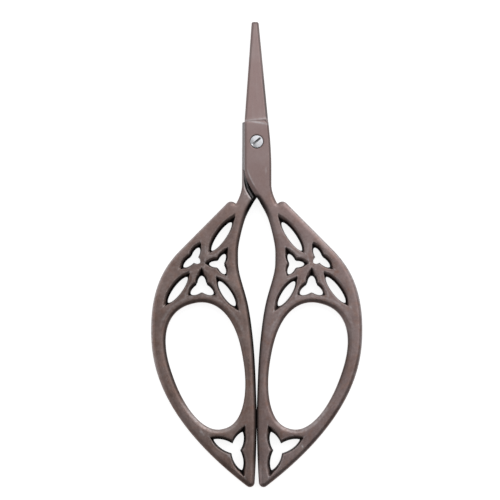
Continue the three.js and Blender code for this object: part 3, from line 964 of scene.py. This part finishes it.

# painted shade and painted highlights, and the bare steel of the inner face: strengths, and the distances
# from an edge, or down from the pivot, over which they set in or fade
paintedLightAndWear = {
    "outward": (0.98, 0.2),        # painted shade round the finger hole: less on its inner side, little on its arch
    "outwardFrom": (0.4, 0.9),     # and none on its foot
    "footFrom": (0.8, 0.97),
    "archFrom": (0.5, 0.8),
    "holeInner": 0.3,
    "holeOuter": 0.65,
    "holeArch": 0.1,
    "holeFades": (1.1, 0.1),
    "inner": (0.5, 0.9),           # painted shade along the inner side, where the halves face each other, more towards the foot and broader at the crotch
    "innerDeepens": (20, 55),
    "innerFades": (1.2, 0.1),
    "innerStarts": (13, 14.2),
    "innerEnds": (86, 80),
    "crotch": (24, 16),
    "crotchBroader": 0.3,
    "chamfer": (0.35, 0.15),       # painted shade on the plain chamfers and on the heel's
    "chamferFrom": (0, 0.15),
    "haloFades": (1.9, 0.4),       # painted shade round the openings
    "bevel": (0.6, 0.1),           # painted shade on the bevel, taken off at the nick, and less towards the tip
    "bevelFrom": (0, 0.3),
    "bevelFades": (14, 23),
    "nickBright": 0.8,
    "nickReach": 0.6,
    "sink": 0.35,                  # painted shade round the screw
    "sinkFades": 3,
    "rim": 0.35,                   # painted highlight on the handle's outer rim
    "rimFades": (0.6, 0.1),
    "rimStarts": (14, 18),
    "rimEnds": (75, 50),
    "rimSide": 6.5,
    "foot": 0.25,                  # painted highlights on the foot of the finger hole, and along the top of its arch
    "footFades": (1.1, 0.4),
    "arch": 0.16,
    "archAt": 1.65,
    "archWidth": 0.32,
    "tick": 0.3,                   # painted highlights at the ends of the pockets, and along the bars between them
    "crest": 0.22,
    "crestWidth": 0.4,
    "crestBars": (4.0, 2.6),
    "heel": 0.4,                   # a painted highlight along the top of the heel's chamfer
    "heelAt": 0.1,
    "heelWidth": 0.15,
    "heelStarts": (6.5, 8),
    "heelEnds": (12.5, 10.5),
    "crevice": (-1.6, -1.2),       # painted shade in the crevice under the other heel, with a paler line in it
    "creviceEnds": (0.3, 0.1),
    "creviceStarts": (1.2, 4.6),
    "creviceLine": 0.4,
    "lineAt": -0.4,
    "lineWidth": 0.16,
    "shoulder": 0.12,              # painted highlights on the shoulder, more along its edge
    "shoulderFades": (3.0, 0.6),
    "shoulderEdge": 0.3,
    "edgeFades": (0.7, 0.35),
    "shoulderEnds": (18, 15),
    "inside": 0.85,                # bare steel on the inner face
    "insideFrom": (0.02, -0.02),
}


def fades(value, key):
    # 0 to 1 over one of the ranges of the painted shade, the painted highlights and the bare steel
    return easeBetween(value, *paintedLightAndWear[key])


def makeHalf(side):
    # a plate: its upper side is the outer face, its lower side the inner face, the shoulder and the underside
    outer = halfOutline(side)
    bore = circle(side["bore"], 72)
    edges = [outer, finger, *openings]
    loops = [*edges, bore]
    face, inner = half["face"], half["innerFace"]

    def metal(points):
        # in the metal and clear of its edges
        inMetal = within(points, outer) & ~inAny(points, loops[1:])
        return inMetal & (nearest(points, loops, reach=0.5) > spacing["pocketClear"])

    # inner points of both sides
    depths = [spacing["edgeRings"], spacing["holeRings"]] + [spacing["leafRings"]] * len(openings)
    shared = []
    for loop, rings in zip(edges, depths):
        shared.append(ringsInside(loop, [o for o in edges if o is not loop], rings))
    for leaf in allLeaves:
        shared.append(pocketLines(leaf, [o for o in allLeaves if o is not leaf], metal))
    fine = gridInside(loops, spacing["fine"], spacing["fineClear"])
    fine = fine[nearest(fine, openings) < spacing["fineReach"]]
    fine = fine[np.all([outsidePocket(fine, leaf, spacing["finePocket"]) for leaf in allLeaves], axis=0)]
    coarse = gridInside(loops, spacing["coarse"], spacing["coarseClear"])
    coarse = coarse[nearest(coarse, openings) > spacing["coarseFrom"]]
    coarse = coarse[np.hypot(*coarse.T) > side["sink"] + spacing["coarseSink"]]
    shared += [(fine, noCreases), (coarse, noCreases)]
    radii = np.r_[np.linspace(side["bore"], side["sink"], 5)[1:-1], side["sink"] + spacing["sinkRings"]]
    sink = [(circle(radius, spacing["round"]), chained(spacing["round"])) for radius in radii]
    plungeLine = np.c_[spacing["valley"], np.full(len(spacing["valley"]), half["plungeAt"])]
    valley = linesBeside(plungeLine, spacing["valleyLines"], outer, spacing["valleyClear"])
    step = linesBeside(stepLine, spacing["stepLines"], outer, spacing["stepClear"])
    upperPoints = gathered(shared + sink + [valley])
    lowerPoints = gathered(shared + [step])

    def chamferWidth(points):
        # broader along the heel
        x, down = points[:, 0], -points[:, 1]
        atHeel = easeBetween(down, *half["heelStarts"]) * easeBetween(down, *half["heelEnds"])
        return mix(half["chamfer"], half["heelChamfer"], (x < half["heelSide"]) * atHeel)

    def drops(points):
        # how far the edges, the finger hole and the pockets fall below the face, and the painted shade and
        # painted highlights
        x, down = points[:, 0], -points[:, 1]
        depth, toFinger = distance(points, outer), distance(points, finger)
        toOpenings = np.sort([distance(points, loop) for loop in openings], axis=0)
        toEdge = np.min([depth, toFinger, toOpenings[0]], axis=0)
        pocket, shade, tick = np.max([pocketDrop(points, leaf) for leaf in allLeaves], axis=0)
        handle = easeBetween(down, *half["handleStarts"])
        chamfer = half["chamfer"] * np.clip(1 - depth / chamferWidth(points), 0, 1)
        edge = mix(chamfer, rounded(depth, half["edgeIn"], half["edgeDown"]), handle)
        hole = rounded(toFinger, half["edgeIn"], half["edgeDown"])
        crown = handle * half["crownDown"] * np.clip(1 - toEdge / half["crownIn"], 0, 1) ** 2

        # painted shade: in the openings, round the finger hole apart from its foot, along the inner side, on
        # the chamfers
        out = unit(points - finger.mean(0))
        outward, foot = fades(out @ paintedLightAndWear["outward"], "outwardFrom"), fades(-out[:, 1], "footFrom")
        above = fades(out[:, 1], "archFrom")
        roundHole = mix(mix(paintedLightAndWear["holeInner"], paintedLightAndWear["holeOuter"], outward), paintedLightAndWear["holeArch"], above)
        roundHole = roundHole * (1 - foot) * fades(toFinger, "holeFades")
        crotch = fades(down, "crotch")
        toInner = distance(points, innerSide, closed=False) - paintedLightAndWear["crotchBroader"] * crotch
        beside = np.maximum(crotch, mix(*paintedLightAndWear["inner"], fades(down, "innerDeepens")))
        beside = beside * fades(toInner, "innerFades") * fades(down, "innerStarts") * fades(down, "innerEnds")
        widths = [half["chamfer"], half["heelChamfer"]]
        plate = np.interp(chamferWidth(points), widths, paintedLightAndWear["chamfer"])
        plate = plate * (1 - handle) * fades(edge, "chamferFrom")
        # painted shade round the openings
        halo = side["halo"] * fades(toOpenings[0], "haloFades")
        dark = np.clip(side["shading"] * np.max([shade, roundHole, beside, plate, halo], axis=0), 0, 1)

        # painted highlights: the outer rim, the finger hole's foot and arch, the ends of the pockets, the
        # bars
        rim = paintedLightAndWear["rim"] * fades(depth, "rimFades") * fades(down, "rimStarts") * fades(down, "rimEnds")
        bar = fades(toOpenings[1] + toOpenings[0], "crestBars")
        crest = paintedLightAndWear["crest"] * bell(toOpenings[1] - toOpenings[0], paintedLightAndWear["crestWidth"]) * bar
        arch = paintedLightAndWear["arch"] * above * bell(toFinger - paintedLightAndWear["archAt"], paintedLightAndWear["archWidth"])
        wearAndSheen = np.max([rim * (x > paintedLightAndWear["rimSide"]), paintedLightAndWear["foot"] * foot * fades(toFinger, "footFades"),
                       paintedLightAndWear["tick"] * tick, crest, arch], axis=0)
        return edge + crown, hole, pocket, dark, wearAndSheen + brightStreaks(points, side["streakList"])

    def upper(points):
        # the level of the face or of the ground blade, less what the edges, the openings and the bevel take
        x, y = points.T
        edge, hole, pocket, dark, wearAndSheen = drops(points)
        back, cutting = plateEdges(y, side)
        ground = inner + mix(half["thickness"] - half["plungeDepth"], half["tipThickness"], alongBlade(y))
        share = np.clip((x - plunge["start"]) / plunge["run"], 0, 1)
        t = y - half["plungeAt"] + plunge["lead"] - plunge["slant"] * share
        start, bottom, top, end = plunge["rows"]
        ridge = mix(*plunge["ridge"], share) * np.interp(t, [bottom, top, end], [0, 1, 0])
        groove = mix(*plunge["groove"], share) * np.interp(t, [start, bottom, top], [0, 1, 0])
        level = mix(face, ground, easeBetween(t, start, bottom)) + ridge - groove
        onBlade = easeBetween(t, *plunge["bladeStarts"])
        bevel = np.clip(1 - (cutting - x) / half["bevel"], 0, 1) * (ground - inner - half["land"])
        chamfer = np.clip(half["chamfer"] - (x - back), 0, None)
        tip = np.clip(half["tipChamfer"] - (half["bladeReach"] - y), 0, None)
        height = level - mix(together([edge, hole, pocket]), together([bevel, chamfer, tip]), onBlade)
        fromSink = np.hypot(x, y) - side["sink"]
        if side["sink"] > side["bore"] + 0.1:
            lip = face - half["lipSlope"] * np.clip(half["sinkLip"] - fromSink, 0, None)
            sunk = np.minimum(height, np.where(fromSink < 0, half["seat"], lip))
            height = np.where(fromSink < half["sinkLip"], sunk, height)

        # painted shade on the bevel, taken off at the nick
        bevelShade = mix(*paintedLightAndWear["bevel"], fades(y, "bevelFades")) * fades(bevel, "bevelFrom") * onBlade
        nick = bell(y - half["plungeAt"], paintedLightAndWear["nickReach"])
        dark = np.maximum(dark, bevelShade) * (1 - paintedLightAndWear["nickBright"] * nick)
        # painted shade round the screw
        dark = np.maximum(dark, np.clip(paintedLightAndWear["sink"] - paintedLightAndWear["sinkFades"] * fromSink, 0, paintedLightAndWear["sink"]))
        # a painted highlight along the top of the heel's chamfer
        toCrest = distance(points, outer) - chamferWidth(points) - paintedLightAndWear["heelAt"]
        crest = paintedLightAndWear["heel"] * bell(toCrest, paintedLightAndWear["heelWidth"]) * (x < half["heelSide"])
        wearAndSheen = wearAndSheen + crest * fades(-y, "heelStarts") * fades(-y, "heelEnds")
        # painted highlight bands across the plunge
        fromBand = y - half["plungeAt"] - plunge["bandAt"]
        bands = np.max([bright * bell(fromBand - rise * share, plunge["bandWidth"])
                        for rise, bright in plunge["bands"]], axis=0)
        wearAndSheen = wearAndSheen + bands * mix(plunge["bandStart"], 1, share)
        return height, np.c_[dark, wearAndSheen]

    def lower(points):
        # flat along the blade, and past the step down to the shoulder and the handle's underside
        edge, hole, pocket, dark, wearAndSheen = drops(points)
        down = -points[:, 1]
        toStep = distance(points, stepLine, closed=False, reach=9.0)
        left, far = -9, 99    # past the half on every side
        beyond = [(left, stepLine[-1, 1] - 4), (left, -far), (far, -far), (far, stepLine[0, 1])]
        signed = np.where(within(points, np.vstack([stepLine, beyond])), toStep, -toStep)
        stepEdge = rounded(signed - half["stepWidth"], half["stepIn"], half["stepDown"])
        deep = -face + together([edge, hole, pocket, stepEdge])
        sinks = easeBetween(down - half["heelAt"], *half["ramp"])    # the shoulder starts as a ramp
        height = mix(inner, deep, sinks * easeBetween(signed, 0.0, half["stepWidth"]))

        # painted shade in the crevice under the other heel, with a paler line in it
        crevice = fades(signed, "crevice") * fades(signed, "creviceEnds")
        crevice = crevice * fades(down - half["heelAt"], "creviceStarts")
        crevice = crevice * (1 - paintedLightAndWear["creviceLine"] * bell(signed - paintedLightAndWear["lineAt"], paintedLightAndWear["lineWidth"]))
        # painted highlights on the shoulder; the inner face is bare steel
        shoulder = paintedLightAndWear["shoulder"] * fades(signed, "shoulderFades")
        shoulder = shoulder + paintedLightAndWear["shoulderEdge"] * fades(signed, "edgeFades")
        inside = paintedLightAndWear["inside"] * fades(signed, "insideFrom")
        bare = np.where(signed > half["stepWidth"] + 0.01, shoulder * fades(down, "shoulderEnds"), inside)
        return height, np.c_[np.maximum(dark, crevice), np.maximum(wearAndSheen, bare)]

    return plateMesh(loops, (*upperPoints, upper), (*lowerPoints, lower))


frontSide = {
    "lean": -0.4,
    "shoulder": 3.05,
    "bore": 1.3,               # radii of the screw's hole and of the counterbore
    "sink": 1.76,
    # how strong its painted shade is, and the painted shade round the openings
    "shading": 0.9,
    "halo": 0.07,
    "streakList": [                # place, angle, length, width, brightness
        (11.7, -78.4, -65, 0.4, 0.2, 0.8),
        (2.4, -7.4, 90, 0.8, 0.2, 0.25),
        (8.3, -77.6, 35, 0.9, 0.5, 0.2),
    ],
}
frontCasting = addPiece("frontCasting", *makeHalf(frontSide), frontBronze)
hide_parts("front_half")
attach(frontCasting, "front_half")

rearSide = {
    "lean": 0.4,
    "shoulder": 3.66,
    "bore": 1.2,
    "sink": 1.25,
    # stronger painted shade, and more round the openings
    "shading": 1.1,
    "halo": 0.2,
    "streakList": [
        (14.0, -74.9, 57, 0.8, 0.25, 0.4),
        (7.1, -80.8, 50, 0.6, 0.3, 0.4),
        (3.0, -13.6, 60, 0.5, 0.25, 0.3),
    ],
}
rearVerts, rearFaces, rearTints = makeHalf(rearSide)
turnedOver = rearVerts * (-1, 1, -1)     # the same casting, the other way up
rearCasting = addPiece("rearCasting", turnedOver, rearFaces, rearTints, rearBronze)
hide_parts("rear_half")
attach(rearCasting, "rear_half")


screwShape = {
    "headRadius": 1.63,
    "headSeat": 1.05,
    "headTop": 2.043,
    "dome": 0.08,
    "edgeFrom": 0.93,          # share of the radius where the head's edge starts to drop, and how far
    "edgeDown": 0.06,
    "slotWidth": 0.5,
    "slotDepth": 0.42,
    "slotReach": 1.55,
    "slotOff": 0.12,
    "slotAngle": math.radians(40.6),
    "slotWall": 0.02,          # how far its walls lean
    # painted shade in the slot, and the depths below the dome over which it sets in
    "slotShade": 0.8,
    "slotShadeFrom": (0.02, 0.2),
    "neckRadius": 1.2,
    "neckEnd": -0.03,
    "neckInHead": 0.3,
    "threadRadius": 1.1,
    "threadDepth": 0.2,
    "pitch": 0.45,
    "end": -1.8,
    "round": 120,
    "rings": (0.99, 0.97, 0.94, 0.9, 0.84, 0.76, 0.66, 0.55, 0.43, 0.3, 0.16),   # shares of the head's radius
    "slotLines": (-0.05, 0.0, 0.02, 0.07),     # off the slot's walls
    "slotRun": np.arange(-1.66, 1.67, 0.06),
    "linesWithin": 0.992,
    "threadRows": 0.045,
}


def makeScrew(shape):
    # head: a disc with a domed top and a straight slot; below it a neck and a thread, turned about the axis
    rim = circle(shape["headRadius"], shape["round"], 1)
    axis = np.array([math.cos(shape["slotAngle"]), math.sin(shape["slotAngle"])])
    across = leftOf(axis)
    wall = shape["slotWidth"] / 2
    rings = [circle(shape["headRadius"] * r, shape["round"], 1) for r in shape["rings"]]
    lines = [shape["slotRun"][:, None] * axis + across * (shape["slotOff"] + side * (wall + off))
             for side in (-1, 1) for off in shape["slotLines"]]
    points = np.vstack(rings + lines)
    points = points[np.hypot(*points.T) < shape["linesWithin"] * shape["headRadius"]]

    def top(p):
        # a dome, less its edge and the slot, whose floor is an arc
        radius = np.minimum(np.hypot(*p.T) / shape["headRadius"], 1)
        edge = np.clip((radius - shape["edgeFrom"]) / (1 - shape["edgeFrom"]), 0, 1)
        dome = shape["headTop"] - shape["dome"] * radius ** 2 - shape["edgeDown"] * edge ** 2
        inSlot = easeBetween(np.abs(p @ across - shape["slotOff"]), wall + shape["slotWall"], wall)
        sunk = shape["slotDepth"] * np.clip(1 - ((p @ axis) / shape["slotReach"]) ** 2, 0, 1)
        height = mix(dome, np.minimum(shape["headTop"] - sunk, dome), inSlot)
        # painted shade in the slot
        dark = shape["slotShade"] * easeBetween(dome - height, *shape["slotShadeFrom"])
        return height, np.c_[dark, 0 * height]

    def bottom(p):
        # flat
        return np.full(len(p), shape["headSeat"]), np.zeros((len(p), 2))

    headUnder = (np.zeros((1, 2)), noCreases, bottom)
    headVerts, headFaces, headTints = plateMesh([rim], (points, noCreases, top), headUnder, 3)
    # neck and thread: the groove's depth is a triangle wave of height over pitch, less the turn
    turn = np.linspace(0, 2 * math.pi, 73)
    neckTop = shape["headSeat"] + shape["neckInHead"]
    threadRows = np.arange(shape["end"], shape["neckEnd"], shape["threadRows"])
    height = np.r_[shape["end"], threadRows, shape["neckEnd"], shape["neckEnd"], neckTop, neckTop]
    t, z = np.meshgrid(turn, height)
    wave = z / shape["pitch"] - t / (2 * math.pi)
    groove = shape["threadDepth"] * np.abs(2 * (wave - np.floor(wave)) - 1)
    radius = shape["threadRadius"] - np.maximum(groove, shape["threadDepth"] - (z - shape["end"]))
    radius[-3:] = shape["neckRadius"]
    radius[[0, -1]] = 0.0
    verts = np.stack([radius * np.cos(t), radius * np.sin(t), z], -1)[:, :-1]
    rows, columns = verts.shape[:2]
    index = np.arange(rows * columns).reshape(rows, columns)
    ahead = np.roll(index, -1, 1)
    a, b, c, d = index[:-1], ahead[:-1], ahead[1:], index[1:]
    faces = [np.stack([a, b, c], -1)[1:].reshape(-1, 3), np.stack([a, c, d], -1)[:-1].reshape(-1, 3)]
    return (np.vstack([headVerts, verts.reshape(-1, 3)]),
            np.vstack([headFaces, np.vstack(faces) + len(headVerts)]),
            np.vstack([headTints, np.zeros((rows * columns, 2))]))


slottedScrew = addPiece("slottedScrew", *makeScrew(screwShape), steel, 30)
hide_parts("pivot_screw")
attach(slottedScrew, "pivot_screw")
print("pieces made")


# floor and light
studio = {
    "floorSize": 3.0,
    "floorAt": -0.00005,      # a hair below the part, so that no faces coincide
    "paper": 0.82,
    "glow": 0.86,             # the floor's own white as the camera sees it; its shadows come on top
    "shadow": 0.35,
    "front": 0.2,             # the sky's light in front, beyond and at the sides, and overhead
    "beyond": 1.05,
    "zenith": 0.2,
    "sides": 0.5,             # how much the sides, the left and the far end count in it
    "left": 0.25,
    "far": 0.8,
    "brightens": (-0.3, 0.75),
    "overhead": (0.9, 0.985),
    "lamps": [
        {"name": "overhead", "place": (0.25, 0.2, 0.85), "aim": (0.0, 0.0, 0.0), "size": 0.7, "power": 1.75},
        {"name": "side", "place": (0.55, 0.75, 0.5), "aim": (0.0, 0.0, 0.0), "size": 0.5, "power": 1.5},
    ],
}


def grey(value):
    # the same in every channel
    return value, value, value, 1


span, floorAt = studio["floorSize"] / 2, studio["floorAt"]
floorMesh = bpy.data.meshes.new("floor")
floorCorners = [(x * span, y * span, floorAt) for x, y in ((-1, -1), (1, -1), (1, 1), (-1, 1))]
floorMesh.from_pydata(floorCorners, [], [(0, 1, 2, 3)])
floor = bpy.data.objects.new("floor", floorMesh)
bpy.context.scene.collection.objects.link(floor)
paper, w = startMaterial("paper")
rays = w.node("ShaderNodeLightPath").out.node.outputs
byCamera = Wire(w.tree, rays["Is Camera Ray"])
byGloss = Wire(w.tree, rays["Is Glossy Ray"])
through = Wire(w.tree, rays["Is Transmission Ray"])
glow = w.node("ShaderNodeEmission", {}, {"Color": grey(1), "Strength": studio["glow"]})
faint = w.node("ShaderNodeBsdfDiffuse", {}, {"Color": grey(studio["shadow"])})
shown = w.node("ShaderNodeAddShader", {}, {0: glow, 1: faint})
plain = w.node("ShaderNodeBsdfDiffuse", {}, {"Color": grey(studio["paper"])})
seen = (byCamera + byGloss + through).clipped()
both = w.node("ShaderNodeMixShader", {}, {0: seen, 1: plain, 2: shown})
w.node("ShaderNodeOutputMaterial", {}, {"Surface": both})
floorMesh.materials.append(paper)

world = bpy.data.worlds.new("studio")
world.use_nodes = True
world.node_tree.nodes.clear()
w = Wire(world.node_tree)
towards = w.node("ShaderNodeTexCoord", output=0)
upwards = w.node("ShaderNodeSeparateXYZ", sockets={0: towards}, output=2)
flat = w.node("ShaderNodeVectorMath", {"operation": "MULTIPLY"}, {0: towards, 1: (1.0, 1.0, 0.0)})
compass = w.node("ShaderNodeVectorMath", {"operation": "NORMALIZE"}, {0: flat})
right = w.node("ShaderNodeSeparateXYZ", sockets={0: compass}, output=0)
away = w.node("ShaderNodeSeparateXYZ", sockets={0: compass}, output=1)
level = w.math("ABSOLUTE", right) * studio["sides"] - right * studio["left"] + away * studio["far"]
around = studio["front"] + (studio["beyond"] - studio["front"]) * level.between(*studio["brightens"])
strength = around + (studio["zenith"] - around) * upwards.between(*studio["overhead"])
sky = w.node("ShaderNodeBackground", {}, {"Color": grey(1), "Strength": strength})
w.node("ShaderNodeOutputWorld", {}, {"Surface": sky})
bpy.context.scene.world = world
for lamp in studio["lamps"]:
    light = bpy.data.lights.new(lamp["name"], "AREA")
    light.shape = "SQUARE"
    light.size = lamp["size"]
    light.energy = lamp["power"]
    holder = bpy.data.objects.new(lamp["name"], light)
    holder.location = lamp["place"]
    holder.rotation_euler = (Vector(lamp["aim"]) - Vector(lamp["place"])).to_track_quat("-Z", "Y").to_euler()
    bpy.context.scene.collection.objects.link(holder)
print("studio lit")
